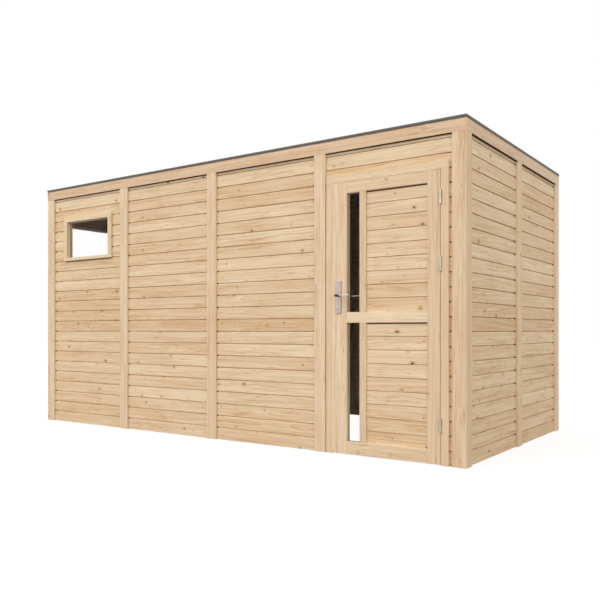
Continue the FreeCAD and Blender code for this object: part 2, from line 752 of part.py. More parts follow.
# Each side's outer corner, its length and the turn that faces its board outwards
SIDES = (
    ("front", ("LEFT", "FRONT"), "WIDTH", 0),
    ("right", ("RIGHT", "FRONT"), "DEPTH", 1),
    ("back", ("RIGHT", "BACK"), "WIDTH", 2),
    ("left", ("LEFT", "BACK"), "DEPTH", 3),
)
OUTWARD = {"front": ("-", "-"), "right": ("+", "-"), "back": ("+", "+"), "left": ("-", "+")}
trim_lengths = []
for wall, (x, y), length, turns in SIDES:
    keep(wall + "_fascia", [mitred_board(
        wall + "_fascia_board", length, "fascia_thickness", "fascia_height",
        (x, y, "FASCIA_BOTTOM"), turns,
    )])
    sign_x, sign_y = OUTWARD[wall]
    drip = mitred_board(
        wall + "_trim_drip", length, "trim_width", "trim_drip_height",
        (x, y, "TRIM_BOTTOM"), turns, "hairline",
    )
    nose = mitred_board(
        wall + "_trim_nose", "%s + 2 * trim_proud" % length, "trim_width + trim_proud",
        "trim_height - trim_drip_height",
        ("%s %s trim_proud" % (x, sign_x), "%s %s trim_proud" % (y, sign_y),
         "TRIM_BOTTOM + trim_drip_height"), turns, "hairline",
    )
    trim_lengths.append(fuse(wall + "_trim", [drip, nose]))
keep("roof_edge_trim", trim_lengths)

doc.recompute()

for thing in doc.Objects:
    if "Invalid" in thing.State or "Error" in thing.State:
        raise RuntimeError("%s failed to build: %s" % (thing.Label, thing.State))
for name, part in PARTS.items():
    if part.Shape.isNull() or not part.Shape.isValid():
        raise RuntimeError("%s has no valid solid" % name)

os.makedirs("parts", exist_ok=True)
for name, part in PARTS.items():
    part.Shape.exportStep("parts/%s.step" % name)
print("%d sub-parts" % len(PARTS))
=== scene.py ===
import math
import random

import bmesh
import bpy
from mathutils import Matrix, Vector


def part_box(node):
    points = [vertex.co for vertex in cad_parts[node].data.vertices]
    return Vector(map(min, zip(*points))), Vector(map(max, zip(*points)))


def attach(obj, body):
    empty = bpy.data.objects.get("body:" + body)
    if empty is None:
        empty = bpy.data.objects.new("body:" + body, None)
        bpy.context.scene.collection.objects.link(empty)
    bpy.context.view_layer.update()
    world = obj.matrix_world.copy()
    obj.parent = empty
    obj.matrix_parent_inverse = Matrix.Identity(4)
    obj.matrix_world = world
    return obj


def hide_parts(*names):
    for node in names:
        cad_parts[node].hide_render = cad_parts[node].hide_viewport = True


# A flat-roofed garden shed of planed spruce: square posts on the ground, tongued boards set
# back between them, a framed door with a glazed strip, two small windows and a flat roof.
# Metres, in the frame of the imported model.

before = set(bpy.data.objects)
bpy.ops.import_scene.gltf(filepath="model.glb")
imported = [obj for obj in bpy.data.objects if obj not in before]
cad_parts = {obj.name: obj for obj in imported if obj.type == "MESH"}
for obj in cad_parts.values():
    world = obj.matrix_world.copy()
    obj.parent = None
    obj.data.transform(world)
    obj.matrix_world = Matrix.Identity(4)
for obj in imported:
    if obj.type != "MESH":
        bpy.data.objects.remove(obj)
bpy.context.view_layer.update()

# POSTS
# Twelve square posts of planed spruce with rounded arrises carry the roof, at the corners and
# between the bays. They end at the fascias, which reach 6 mm lower here than in the solids.


def srgb(red, green, blue):
    """A colour from its 0 to 255 numbers, as the linear values that sockets take."""
    linear = []
    for number in (red, green, blue):
        share = number / 255
        linear.append(share / 12.92 if share <= 0.04045 else ((share + 0.055) / 1.055) ** 2.4)
    return (*linear, 1.0)


def add_node(tree, kind, inputs=None, **options):
    """Add a shader node, set its options, and fill its inputs with numbers or links."""
    new = tree.nodes.new("ShaderNode" + kind)
    for option, value in options.items():
        setattr(new, option, value)
    for socket, value in (inputs or {}).items():
        if isinstance(value, bpy.types.NodeSocket):
            tree.links.new(value, new.inputs[socket])
        else:
            new.inputs[socket].default_value = value
    return new


def stretch(tree, vector, per_metre):
    """Coordinates counted in cells, so many to the metre along each axis."""
    return add_node(tree, "VectorMath", {0: vector, 1: per_metre}, operation="MULTIPLY").outputs[0]


def noise(tree, vector, per_metre, detail=2.0, roughness=0.5):
    """Noise with so many features to the metre along each axis."""
    return add_node(tree, "TexNoise", {
        "Vector": stretch(tree, vector, per_metre), "Scale": 1.0,
        "Detail": detail, "Roughness": roughness,
    }).outputs


def calc(tree, operation, first, second=0.0, clamp=False):
    """One step of arithmetic on numbers and values."""
    return add_node(tree, "Math", {0: first, 1: second},
                    operation=operation, use_clamp=clamp).outputs[0]


def remap(tree, value, low, high, to_low=0.0, to_high=1.0):
    """A value carried from one range to another, and held inside it."""
    return add_node(
        tree, "MapRange",
        {"Value": value, "From Min": low, "From Max": high, "To Min": to_low, "To Max": to_high},
    ).outputs["Result"]


def blend_colours(tree, share, first, second):
    """From the first colour to the second by a share from 0 to 1."""
    mix = add_node(tree, "Mix", {0: share}, data_type="RGBA")
    tree.links.new(first, [s for s in mix.inputs if s.name == "A" and s.type == "RGBA"][0])
    tree.links.new(second, [s for s in mix.inputs if s.name == "B" and s.type == "RGBA"][0])
    return [s for s in mix.outputs if s.type == "RGBA"][0]


def new_group(name, sockets):
    """An empty node group with named inputs and outputs; gives the group and both ends."""
    group = bpy.data.node_groups.new(name, "ShaderNodeTree")
    for label, side, kind in sockets:
        group.interface.new_socket(name=label, in_out=side, socket_type="NodeSocket" + kind)
    given = group.nodes.new("NodeGroupInput").outputs
    return group, given, group.nodes.new("NodeGroupOutput").inputs


def new_material(name):
    """A material, its node tree and the inputs of its Principled shader."""
    material = bpy.data.materials.new(name)
    material.use_nodes = True
    tree = material.node_tree
    return material, tree, tree.nodes["Principled BSDF"].inputs


def add_object(name, data):
    """A new object in the scene, at the origin."""
    made = bpy.data.objects.new(name, data)
    bpy.context.scene.collection.objects.link(made)
    return made


def spruce_grain_group():
    """Sawn spruce by its place in the log: growth rings, streaks, fibres and knots.

    Log Place is in metres, along the trunk first and then outwards from the pith.
    """
    tree, given, result = new_group("spruce_grain", (
        ("Log Place", "INPUT", "Vector"),
        ("Warmth", "INPUT", "Float"),
        ("Pale Wood", "INPUT", "Color"),
        ("Late Wood", "INPUT", "Color"),
        ("Knot Wood", "INPUT", "Color"),
        ("Ring Spacing", "INPUT", "Float"),
        ("Knot Share", "INPUT", "Float"),
        ("Color", "OUTPUT", "Color"),
        ("Height", "OUTPUT", "Float"),
    ))
    place = given["Log Place"]

    # the trunk wanders, so the rings wave along a board
    sway = add_node(tree, "VectorMath", {
        0: noise(tree, place, (1.1, 5, 5))["Color"], 1: (0.5, 0.5, 0.5),
    }, operation="SUBTRACT").outputs[0]
    sway = add_node(tree, "VectorMath", {0: sway, "Scale": 0.05}, operation="SCALE").outputs[0]
    swayed = add_node(tree, "VectorMath", {0: place, 1: sway}, operation="ADD").outputs[0]

    # one branch to a cell of the trunk, and most cells without one
    cells = (5.2, 12.0, 22.0)
    cell_place = stretch(tree, place, cells)
    branch = add_node(tree, "TexVoronoi", {"Vector": cell_place, "Scale": 1.0, "Randomness": 1.0},
                      voronoi_dimensions="3D", feature="F1").outputs
    from_branch = add_node(tree, "VectorMath", {0: cell_place, 1: branch["Position"]},
                           operation="SUBTRACT").outputs[0]
    metric = stretch(tree, from_branch, (0.72 / cells[0], 1 / cells[1], 0.5 / cells[2]))
    distance = add_node(tree, "VectorMath", {0: metric}, operation="LENGTH").outputs["Value"]
    dice = add_node(tree, "SeparateXYZ", {0: branch["Color"]}).outputs
    present = calc(tree, "LESS_THAN", dice[1], given["Knot Share"])
    smallest, largest, raggedness = 0.0020, 0.0085, 0.0015
    size = remap(tree, calc(tree, "POWER", dice[0], 2.2), 0, 1, smallest, largest)
    ripple = remap(tree, noise(tree, place, (60, 90, 90))["Fac"], 0, 1, -raggedness, raggedness)
    reach = calc(tree, "DIVIDE", calc(tree, "ADD", distance, ripple), size)
    core = calc(tree, "MULTIPLY", remap(tree, reach, 1.15, 0.75), present)
    halo = calc(tree, "MULTIPLY", remap(tree, reach, 3.2, 0.9), present)

    # rings round the pith, pushed aside where they pass a branch
    apart = add_node(tree, "SeparateXYZ", {0: swayed}).outputs
    squared = calc(tree, "ADD", calc(tree, "MULTIPLY", apart[1], apart[1]),
                   calc(tree, "MULTIPLY", apart[2], apart[2]))
    radius = calc(tree, "POWER", squared, 0.5)
    pushed = calc(tree, "ADD", radius, calc(tree, "MULTIPLY", halo, 0.007))
    season = calc(tree, "FRACT", calc(tree, "DIVIDE", pushed, given["Ring Spacing"]))
    late = calc(tree, "POWER", season, 2.2)
    vigour = noise(tree, place, (0.8, 24, 24), detail=1.0)["Fac"]
    ring = calc(tree, "MULTIPLY", late, remap(tree, vigour, 0.3, 0.72, 0.15, 1.0))

    # resin streaks, fibres, and the slow change of colour from end to end
    streak = noise(tree, swayed, (1.9, 62, 62), detail=3.0, roughness=0.6)["Fac"]
    cloud = noise(tree, place, (1.3, 8, 8))["Fac"]
    fibres = noise(tree, swayed, (14, 900, 900))["Fac"]
    flame = noise(tree, swayed, (12, 230, 230), detail=1.0)["Fac"]
    patch = noise(tree, place, (3.5, 16, 16), detail=1.0)["Fac"]
    flames = calc(tree, "MULTIPLY", remap(tree, flame, 0.5, 0.72), remap(tree, patch, 0.45, 0.68))
    streaks = remap(tree, streak, 0.34, 0.72)
    clouds = remap(tree, cloud, 0.3, 0.7)

    # from the pale early wood to the orange late wood
    share = calc(tree, "MULTIPLY", ring, 0.42)
    for part, weight in (
        (streaks, 0.4), (flames, 0.5), (clouds, 0.16), (fibres, 0.12), (halo, 0.4),
    ):
        share = calc(tree, "ADD", share, calc(tree, "MULTIPLY", part, weight))
    share = calc(tree, "ADD", share, calc(tree, "SUBTRACT", given["Warmth"], 0.5), clamp=True)
    wood = blend_colours(tree, share, given["Pale Wood"], given["Late Wood"])
    depth = calc(tree, "MULTIPLY", core, remap(tree, dice[2], 0.1, 0.9, 0.4, 0.92))
    tree.links.new(blend_colours(tree, depth, wood, given["Knot Wood"]), result["Color"])

    # planed wood: soft early wood sinks below the hard rings, and knots stand up a little
    height = calc(tree, "ADD", calc(tree, "MULTIPLY", ring, 0.5),
                  calc(tree, "MULTIPLY", fibres, 0.5))
    tree.links.new(calc(tree, "ADD", height, core), result["Height"])
    return tree


SPRUCE_GRAIN = spruce_grain_group()
GLOSS_SWING = 0.08  # how far roughness goes either way between hard and soft wood


def spruce(name, pale, late, knot, ring_spacing, knot_share, rough=0.62, relief=0.0002):
    """Bare planed spruce, read from each timber's own place in its log."""
    material, tree, shader = new_material(name)
    log_place = add_node(tree, "Attribute", attribute_name="log_place").outputs["Vector"]
    warmth = add_node(tree, "Attribute", attribute_name="warmth").outputs["Fac"]
    grain = add_node(tree, "Group", node_tree=SPRUCE_GRAIN)
    for socket, value in (
        ("Pale Wood", pale), ("Late Wood", late), ("Knot Wood", knot),
        ("Ring Spacing", ring_spacing), ("Knot Share", knot_share),
    ):
        grain.inputs[socket].default_value = value
    tree.links.new(log_place, grain.inputs["Log Place"])
    tree.links.new(warmth, grain.inputs["Warmth"])
    tree.links.new(grain.outputs["Color"], shader["Base Color"])
    height = grain.outputs["Height"]
    tree.links.new(remap(tree, height, 0, 1, rough + GLOSS_SWING, rough - GLOSS_SWING),
                   shader["Roughness"])
    bump = add_node(tree, "Bump", {"Height": height, "Strength": 0.6, "Distance": relief})
    tree.links.new(bump.outputs["Normal"], shader["Normal"])
    return material


def solids_of(node):
    """The low and high corner of each solid in a CAD node."""
    mesh = bmesh.new()
    mesh.from_mesh(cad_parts[node].data)
    bmesh.ops.remove_doubles(mesh, verts=mesh.verts, dist=0.00002)
    waiting = set(mesh.verts)
    boxes = []
    while waiting:
        group, edge = set(), [waiting.pop()]
        while edge:
            vertex = edge.pop()
            group.add(vertex)
            for link in vertex.link_edges:
                other = link.other_vert(vertex)
                if other in waiting:
                    waiting.discard(other)
                    edge.append(other)
        boxes.append((
            Vector([min(v.co[axis] for v in group) for axis in range(3)]),
            Vector([max(v.co[axis] for v in group) for axis in range(3)]),
        ))
    mesh.free()
    return sorted(boxes, key=lambda box: tuple(box[0]))


def skin(mesh, rings):
    """Faces from each ring of vertices to the next."""
    count = len(rings[0])
    for near, far in zip(rings, rings[1:]):
        for index in range(count):
            after = (index + 1) % count
            mesh.faces.new((near[index], near[after], far[after], far[index]))


def cap(mesh, rings):
    """Faces that close both ends of a run of rings."""
    mesh.faces.new(rings[0])
    mesh.faces.new(rings[-1])


def smooth_object(mesh, name, material, sharp_angle):
    """Finish a mesh as an object, smooth but for the edges that are steeper than an angle."""
    bmesh.ops.recalc_face_normals(mesh, faces=mesh.faces)
    for face in mesh.faces:
        face.smooth = True
    data = bpy.data.meshes.new(name)
    mesh.to_mesh(data)
    mesh.free()
    data.materials.append(material)
    data.set_sharp_from_angle(angle=math.radians(sharp_angle))
    return add_object(name, data)


def finish_piece(made, body, nodes):
    """Tie a piece to its body, and let it stand for CAD nodes where it names any."""
    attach(made, body)
    if nodes:
        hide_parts(*nodes)


class Joinery:
    """Timbers gathered into one mesh; each keeps its own place in a log and its own warmth."""

    def __init__(self, seed):
        self.mesh = bmesh.new()
        self.place = self.mesh.verts.layers.float_vector.new("log_place")
        self.warmth = self.mesh.verts.layers.float.new("warmth")
        self.dice = random.Random(seed)

    def loft(self, sections, corner, axes, warmth=None):
        """One timber from its sections: (along, [(across, depth), ...]) along the axes.

        A section may give along as a function of the depth, for a mitred end.
        """
        along_start = self.dice.uniform(0, 60)
        pith = (self.dice.uniform(-0.09, 0.03), self.dice.uniform(0.02, 0.09))
        shade = self.dice.uniform(0.36, 0.62) if warmth is None else warmth
        rings = []
        for along, outline in sections:
            ring = []
            for across, depth in outline:
                reach = along(depth) if callable(along) else along
                vertex = self.mesh.verts.new(
                    corner + reach * axes[0] + across * axes[1] + depth * axes[2])
                vertex[self.place] = (reach + along_start, across + pith[0], depth + pith[1])
                vertex[self.warmth] = shade
                ring.append(vertex)
            rings.append(ring)
        skin(self.mesh, rings)
        cap(self.mesh, rings)

    def timber(self, low, high, arris, along=None, ease=0.0006, warmth=None):
        """A planed timber that fills a box, its long arrises rounded and its ends eased."""
        size = high - low
        order = sorted(range(3), key=lambda axis: size[axis], reverse=True)
        if along is not None:
            order = [along] + [axis for axis in order if axis != along]
        axes = [Vector([1.0 if axis == index else 0.0 for index in range(3)]) for axis in order]
        length, width, depth = (size[axis] for axis in order)
        full = rounded_section(0, width, depth, arris)
        eased = rounded_section(ease, width, depth, arris)
        sections = ((0, eased), (ease, full), (length - ease, full), (length, eased))
        self.loft(sections, low, axes, warmth)

    def piece(self, name, material, slot, body, *nodes):
        """Finish the timbers as one piece of the shed that stands for those CAD nodes."""
        made = smooth_object(self.mesh, name, material, 38)
        even = made.modifiers.new("even_shading", "WEIGHTED_NORMAL")
        even.keep_sharp = True
        even.weight = 100
        finish_piece(made, body, nodes)


def rounded_section(inset, width, depth, arris, steps=4):
    """Outline of a planed section, inset all round, its corners rounded to the arris."""
    smallest = 0.0002
    radius = max(arris - inset, smallest)
    low, right, top = inset + radius, width - inset - radius, depth - inset - radius
    corners = ((right, top, 0), (low, top, 90), (low, low, 180), (right, low, 270))
    outline = []
    for across, inward, start in corners:
        for step in range(steps + 1):
            turn = math.radians(start + 90 * step / steps)
            outline.append((across + radius * math.cos(turn), inward + radius * math.sin(turn)))
    return outline


POST_SPRUCE = spruce("post_spruce", srgb(238, 216, 185), srgb(195, 152, 103), srgb(110, 66, 36),
                     ring_spacing=0.0042, knot_share=0.16)
FASCIA_LAP = 0.006  # how far the fascias reach below the solids' underside
POST_ARRIS = 0.005
for node in ("corner_posts", "front_posts", "back_posts", "side_posts"):
    posts = Joinery(node)
    for low, high in solids_of(node):
        posts.timber(low, high - Vector((0, 0, FASCIA_LAP)), POST_ARRIS)
    posts.piece("spruce_" + node, POST_SPRUCE, "post_timber", "building", node)

# BOARD WALLS
# Tongued and grooved spruce boards with 93 mm cover lie between the posts and meet in V
# grooves. Each end is nicked, so a small dark hole shows at the end of every groove. Dark
# sheets of painted shade close the ends and the vent gap under the fascias.
BOARD_COVER = 0.093
FIRST_GROOVE = 0.094  # the lowest groove's height above the ground
V_DEPTH = 0.003
JOINT_GAP = 0.0042
RIGHT_WALL_JOINT_GAP = 0.0048
TONGUE_START = 0.010
TONGUE_END = 0.014
TONGUE_REST = 0.0002  # what a nick leaves of the tongue
THINNEST_BOARD = 0.003
EDGE_MARGIN = 0.0005
END_GAP = 0.001
END_NICK_LENGTH = 0.010
END_NICK_DEPTH = 0.0032
NICK_SLOPE = 0.0015
SIDE_WALL_NICK_LENGTH = 0.030  # at the far end of the left and right walls
WINDOW_BAY_NICK_LENGTH = 0.014
HINGE_SIDE_NICK_LENGTH = 0.013
CASING_NICK = 0.010
SILL_NICK_DEPTH = 0.007
SILL_NICK_SLOPE = 0.001
WINDOW_OVERLAP = 0.02
NO_LIMIT = 10.0  # above every board

BOARD_SPRUCE = spruce("board_spruce", srgb(237, 214, 179), srgb(190, 143, 87), srgb(78, 42, 20),
                      ring_spacing=0.0075, knot_share=0.6)

UP = Vector((0, 0, 1))
WALL_AXES = {
    "front": (Vector((1, 0, 0)), Vector((0, 1, 0))),
    "back": (Vector((1, 0, 0)), Vector((0, -1, 0))),
    "left": (Vector((0, 1, 0)), Vector((1, 0, 0))),
    "right": (Vector((0, 1, 0)), Vector((-1, 0, 0))),
}


def face_corner(wall, low, high):
    """The corner of a box at the start and foot of its outer face."""
    inward = WALL_AXES[wall][1]
    outer = low if inward.x + inward.y > 0 else high
    return Vector((outer.x if inward.x else low.x, outer.y if inward.y else low.y, low.z))


def board_section(height, thickness, gap, top_edge, bottom_edge, lifted=0.0, lowered=0.0):
    """Height by depth outline of a tongued board, its outer face at depth 0.

    Nicked, its bottom edge is lifted and its top edge lowered, and the tongue is gone.
    """
    outline = [(lifted, V_DEPTH), (lifted + V_DEPTH, 0.0)] if bottom_edge else [(lifted, 0.0)]
    if top_edge:
        shoulder = height - gap - lowered
        tongue = shoulder + (TONGUE_REST if lowered else gap)
        outline += [
            (shoulder - V_DEPTH, 0.0), (shoulder, V_DEPTH), (shoulder, TONGUE_START),
            (tongue, TONGUE_START), (tongue, TONGUE_END), (shoulder, TONGUE_END),
            (shoulder, thickness),
        ]
    else:
        outline += [(height - lowered, 0.0), (height - lowered, thickness)]
    return outline + [(lifted, thickness)]


HEAD_CASING_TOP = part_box("door_casing")[1].z - BOARD_COVER / 2
FASCIA_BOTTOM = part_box("front_fascia")[0].z - FASCIA_LAP
# dark spruce-grained sheets: painted shade in the gaps at the board ends and under the fascias
SHADE_SHEET_SPRUCE = spruce("painted_shade_sheet", srgb(62, 40, 14), srgb(50, 30, 10), srgb(30, 18, 8),
                     ring_spacing=0.004, knot_share=0.0, rough=0.95)
BOARD_ROWS = 24
WARM_ROWS, EXTRA_WARMTH = (0, 9, 10), 0.12  # the foot board and two at mid height
row_dice = random.Random("board rows")
ROW_WARMTH = [row_dice.uniform(0.38, 0.56) + (EXTRA_WARMTH if row in WARM_ROWS else 0.0)
              for row in range(BOARD_ROWS)]


def board_run(boards, wall, low, high, nicks, window=None, cover=BOARD_COVER,
              first=FIRST_GROOVE, nicks_below=NO_LIMIT, slot=0.0, gap=JOINT_GAP):
    """Boards that fill one panel from the ground up, cut off where a window passes through.

    nicks are the lengths of the nicks at both ends, and slot is left open above the top board.
    """
    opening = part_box(window + "_frame") if window else None
    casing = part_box(window + "_casing") if window else None
    along, inward = WALL_AXES[wall]
    start, end = low.dot(along), high.dot(along)
    if nicks[1]:
        start, end = start + END_GAP, end - END_GAP
    corner = face_corner(wall, low, high)
    thickness = abs((high - low).dot(inward))
    rows = int(math.ceil((high.z - first) / cover)) + 1
    for row in range(rows):
        bottom = max(low.z, first + (row - 1) * cover) if row else low.z
        top = min(high.z, first + row * cover)
        if top - bottom < THINNEST_BOARD:
            continue
        upper_edge, lower_edge = top < high.z - EDGE_MARGIN, bottom > low.z + EDGE_MARGIN
        shape = {"height": top - bottom, "thickness": thickness, "gap": gap,
                 "top_edge": upper_edge, "bottom_edge": lower_edge}
        full = board_section(lowered=0.0 if upper_edge else slot, **shape)
        nicked = board_section(lifted=END_NICK_DEPTH if lower_edge else 0.0,
                               lowered=END_NICK_DEPTH if upper_edge else 0.0, **shape)
        # each stretch of board from left to right, with the nicks at both its ends
        stretches = [(start, end, nicks[0], nicks[1])]
        sill_nick = None
        if (opening and bottom < opening[1].z - WINDOW_OVERLAP
                and top > opening[0].z + WINDOW_OVERLAP):
            stretches = [
                (start, opening[0].dot(along),
                 nicks[0], (opening[0] - casing[0]).dot(along) + CASING_NICK),
                (opening[1].dot(along), end,
                 (casing[1] - opening[1]).dot(along) + CASING_NICK, nicks[1]),
            ]
        elif opening and abs(top - opening[0].z) < WINDOW_OVERLAP:
            sill_nick = (opening[0].dot(along) - start, opening[1].dot(along) - start)
        warmth = ROW_WARMTH[row % BOARD_ROWS] + boards.dice.uniform(-0.07, 0.07)
        for left, right, near, far in stretches:
            corner[0 if along.x else 1] = left
            corner.z = bottom
            length = right - left
            if bottom > nicks_below:
                near, far = 0, 0
            sections = [(0.0, full)]
            if near:
                sections = [(0.0, nicked), (near, nicked), (near + NICK_SLOPE, full)]
            if sill_nick:
                under_sill = board_section(lowered=SILL_NICK_DEPTH, **shape)
                sections += [(sill_nick[0], full), (sill_nick[0] + SILL_NICK_SLOPE, under_sill),
                             (sill_nick[1] - SILL_NICK_SLOPE, under_sill), (sill_nick[1], full)]
            if far:
                sections += [(length - far - NICK_SLOPE, full), (length - far, nicked),
                             (length, nicked)]
            else:
                sections.append((length, full))
            boards.loft(sections, corner, (along, UP, inward), warmth)


SHADE_SHEET_THICKNESS = 0.0008
SHADE_SHEET_FRONT, SHADE_SHEET_BACK = 0.003, 0.016  # behind the boards' faces
SHADE_SHEET_END_MARGIN = 0.01
SHADE_SHEET_CLEARANCE = 0.0001
FOLD_FRONT, FOLD_FOOT_GAP, FOLD_END_MARGIN = -0.0150, 0.0002, 0.0005
VENT_REACH = 0.02
# the dark sheets of painted shade, gathered into one mesh
seals = Joinery("board seals")


def panel_shade_sheets(wall, low, high, ends):
    """Dark strips of painted shade that close the ends of the boards and the vent gap above them.
    """
    along, inward = WALL_AXES[wall]
    axes = (along, UP, inward)
    corner = face_corner(wall, low, high)
    length, height = (high - low).dot(along), high.z - low.z
    if ends:
        foot, head = SHADE_SHEET_END_MARGIN, height - SHADE_SHEET_END_MARGIN
        strip = ((foot, SHADE_SHEET_FRONT), (head, SHADE_SHEET_FRONT), (head, SHADE_SHEET_BACK), (foot, SHADE_SHEET_BACK))
        for near in (SHADE_SHEET_CLEARANCE, length - SHADE_SHEET_CLEARANCE - SHADE_SHEET_THICKNESS):
            seals.loft(((near, strip), (near + SHADE_SHEET_THICKNESS, strip)), corner, axes)
    if high.z > FASCIA_BOTTOM - VENT_REACH:
        # level under the fascia, as painted shade on its underside, then folded down behind the gap
        top = FASCIA_BOTTOM - low.z - SHADE_SHEET_CLEARANCE
        under, foot = top - SHADE_SHEET_THICKNESS, height + FOLD_FOOT_GAP
        back = SHADE_SHEET_FRONT + SHADE_SHEET_THICKNESS
        folded = ((top, FOLD_FRONT), (under, FOLD_FRONT), (under, SHADE_SHEET_FRONT),
                  (foot, SHADE_SHEET_FRONT), (foot, back), (top, back))
        seals.loft(((FOLD_END_MARGIN, folded), (length - FOLD_END_MARGIN, folded)), corner, axes)


for node, wall, window in (
    ("front_wall_window_bay", "front", "front_window"),
    ("front_wall_bay_2", "front", None),
    ("front_wall_bay_3", "front", None),
    ("front_wall_over_door", "front", None),
    ("front_wall_door_strips", "front", None),
    ("back_wall_boards", "back", None),
    ("left_wall_window_bay", "left", "left_window"),
    ("left_wall_bay_2", "left", None),
    ("right_wall_boards", "right", None),
):
    boards = Joinery(node)
    nicks = (END_NICK_LENGTH, END_NICK_LENGTH)
    if node == "front_wall_over_door":
        nicks = (0, 0)
    elif wall in ("left", "right"):
        nicks = (END_NICK_LENGTH, SIDE_WALL_NICK_LENGTH)
    elif window:
        nicks = (WINDOW_BAY_NICK_LENGTH, END_NICK_LENGTH)
    for low, high in solids_of(node):
        if node == "front_wall_door_strips":
            # beside the hinge casing the nicks show, on the lock side they are covered
            hinge_side = low.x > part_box("door_hinge_stile")[0].x
            nicks = (HINGE_SIDE_NICK_LENGTH, 0) if hinge_side else (0, 0)
        board_run(boards, wall, low, high, nicks, window,
                  nicks_below=HEAD_CASING_TOP if "door" in node else NO_LIMIT,
                  gap=RIGHT_WALL_JOINT_GAP if wall == "right" else JOINT_GAP)
        panel_shade_sheets(wall, low, high, ends=nicks[1])
    boards.piece("tongued_" + node, BOARD_SPRUCE, "board_timber", "building", node)
seals.piece("board_seals", SHADE_SHEET_SPRUCE, "board_timber", "building")

# WALL FRAMES
# Behind the boards stand 45 by 28 mm studs between a bottom rail and a top rail. They are
# rough planed spruce, a little greyer than the boards, and show through the windows.
STUD_ARRIS = 0.002
STUD_SPRUCE = spruce("stud_spruce", srgb(222, 197, 160), srgb(190, 150, 105), srgb(100, 62, 36),
                     ring_spacing=0.005, knot_share=0.35, rough=0.75, relief=0.0004)
for node in ("front_wall_frame", "back_wall_frame", "left_wall_frame", "right_wall_frame"):
    studs = Joinery(node)
    for low, high in solids_of(node):
        studs.timber(low, high, STUD_ARRIS)
    studs.piece("spruce_" + node, STUD_SPRUCE, "framing_timber", "building", node)

# WINDOWS
# A small high window in the front wall and one in the left wall: a spruce lining through the
# wall, flat casings nailed on outside, and a fixed pane held between square beads.
LINING_TAIL = 0.011  # how far the lining runs on to the face of the studs
LINING_DEPTH = 0.02  # a frame timber deeper than this is a lining, the rest are beads
SILL_BAND = 0.03
CASING_ARRIS, LINING_ARRIS = 0.0015, 0.0012
JOINERY_SPRUCE = spruce("joinery_spruce", srgb(234, 211, 176), srgb(208, 170, 124),
                        srgb(120, 76, 44), ring_spacing=0.003, knot_share=0.06)
for node in (
    "front_window_casing", "front_window_frame", "left_window_casing", "left_window_frame",
):
    joinery = Joinery(node)
    inward = WALL_AXES[node.split("_")[0]][1]
    sill_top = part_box(node)[0].z + SILL_BAND
    for low, high in solids_of(node):
        if "casing" in node:
            # the sill is given a paler tone than the other casings, as a painted highlight
            joinery.timber(low, high, CASING_ARRIS, warmth=0.36 if high.z < sill_top else 0.48)
            continue
        tail = LINING_TAIL if (high - low).dot(inward) > LINING_DEPTH else 0
        # linings and beads in a pale tone: painted light on the reveals
        joinery.timber(low, high + inward * tail, LINING_ARRIS, warmth=0.35)
    joinery.piece("spruce_" + node, JOINERY_SPRUCE, "joinery_timber", "building", node)


def dusty_glass(name, tint, smear):
    """Clear float glass with a faint film of dust that only shows in its gloss."""
    material, tree, shader = new_material(name)
    shader["Base Color"].default_value = tint
    shader["Transmission Weight"].default_value = 1.0
    shader["IOR"].default_value = 1.12
    place = add_node(tree, "TexCoord").outputs["Object"]
    film = add_node(tree, "TexNoise", {"Vector": place, "Scale": 9.0, "Detail": 4.0}).outputs["Fac"]
    tree.links.new(remap(tree, film, 0.4, 0.75, 0.0, smear), shader["Roughness"])
    return material


def coat(node, material):
    """Give a CAD node that keeps its shape its material."""
    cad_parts[node].data.materials.clear()
    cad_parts[node].data.materials.append(material)


WINDOW_GLASS = dusty_glass("window_glass", srgb(255, 255, 255), 0.015)
for node in ("front_window_glass", "left_window_glass"):
    coat(node, WINDOW_GLASS)

# DOORWAY
# Flat casings outside, 40 mm jambs and a head behind them, and stops that the leaf closes
# against. All planed spruce, nailed to the wall's frame.
FRAME_ARRIS = 0.0015
for node in ("door_frame", "door_stops"):
    joinery = Joinery(node)
    for low, high in solids_of(node):
        joinery.timber(low, high, FRAME_ARRIS)
    joinery.piece("spruce_" + node, JOINERY_SPRUCE, "joinery_timber", "building", node)

# the casings stand closer to the leaf than the jambs behind them do
LEAF_LEFT, LEAF_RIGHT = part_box("door_lock_stile")[0].x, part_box("door_hinge_stile")[1].x
LEAF_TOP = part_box("door_lock_stile")[1].z
LOCK_GAP, HEAD_GAP, HINGE_GAP, CASING_JOINT = 0.0006, 0.0006, 0.003, 0.0004
POST_GAP = 0.003
HEAD_LENGTH = 0.2  # a casing longer than this from left to right is the head
casing = Joinery("door_casing")
for low, high in solids_of("door_casing"):
    low, high = low.copy(), high.copy()
    if low.x < LEAF_LEFT:
        low.x += POST_GAP
    if high.x - low.x > HEAD_LENGTH:
        low.z = LEAF_TOP + HEAD_GAP
    else:
        high.z = LEAF_TOP + HEAD_GAP - CASING_JOINT
        if low.x < LEAF_LEFT:
            high.x = LEAF_LEFT - LOCK_GAP
        else:
            low.x = LEAF_RIGHT + HINGE_GAP
    casing.timber(low, high, arris=0.0006, ease=0.0003)
casing.piece("spruce_door_casing", JOINERY_SPRUCE, "joinery_timber", "building", "door_casing")

# DOOR LEAF
# Stiles, three rails and mullions of planed spruce, glued up flush. Tongued boards fill the
# wide panels and a narrow glazed strip runs up the lock side, above and below the middle rail.
LEAF_SPRUCE = spruce("leaf_spruce", srgb(239, 217, 185), srgb(194, 150, 101), srgb(104, 62, 34),
                     ring_spacing=0.0036, knot_share=0.16)
for node in ("door_hinge_stile", "door_rails", "door_mullions"):
    leaf = Joinery(node)
    for low, high in solids_of(node):
        leaf.timber(low, high, arris=0.0012, ease=0.0004)
    leaf.piece("spruce_" + node, LEAF_SPRUCE, "door_timber", "door", node)

